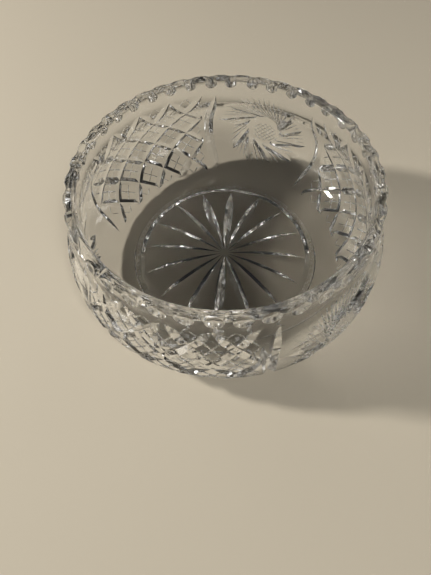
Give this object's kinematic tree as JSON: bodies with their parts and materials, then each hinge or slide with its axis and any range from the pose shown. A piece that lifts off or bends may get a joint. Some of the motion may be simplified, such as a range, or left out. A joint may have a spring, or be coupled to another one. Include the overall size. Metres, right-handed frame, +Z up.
{
  "type": "cut glass bowl",
  "caption": "Round bellied bowl of thick cut glass with a scalloped rim, panels of crossed mitre cuts, whirls between them and a rayed star under the foot.",
  "frame": {"origin": "on the bowl's axis, at the plane that it stands on", "axes": "+Z up along the bowl's axis, out of its mouth; a panel of crossed mitres is centred 10.5 degrees from +X towards +Y, and the others 120 degrees apart"},
  "size_m": [0.2062, 0.2062, 0.084],
  "materials": {
    "crystal": "clear polished lead crystal, its cuts bright, the foot's ring lightly scuffed"
  },
  "bodies": {
    "root": {"bowl": "crystal"}
  },
  "joints": []
}
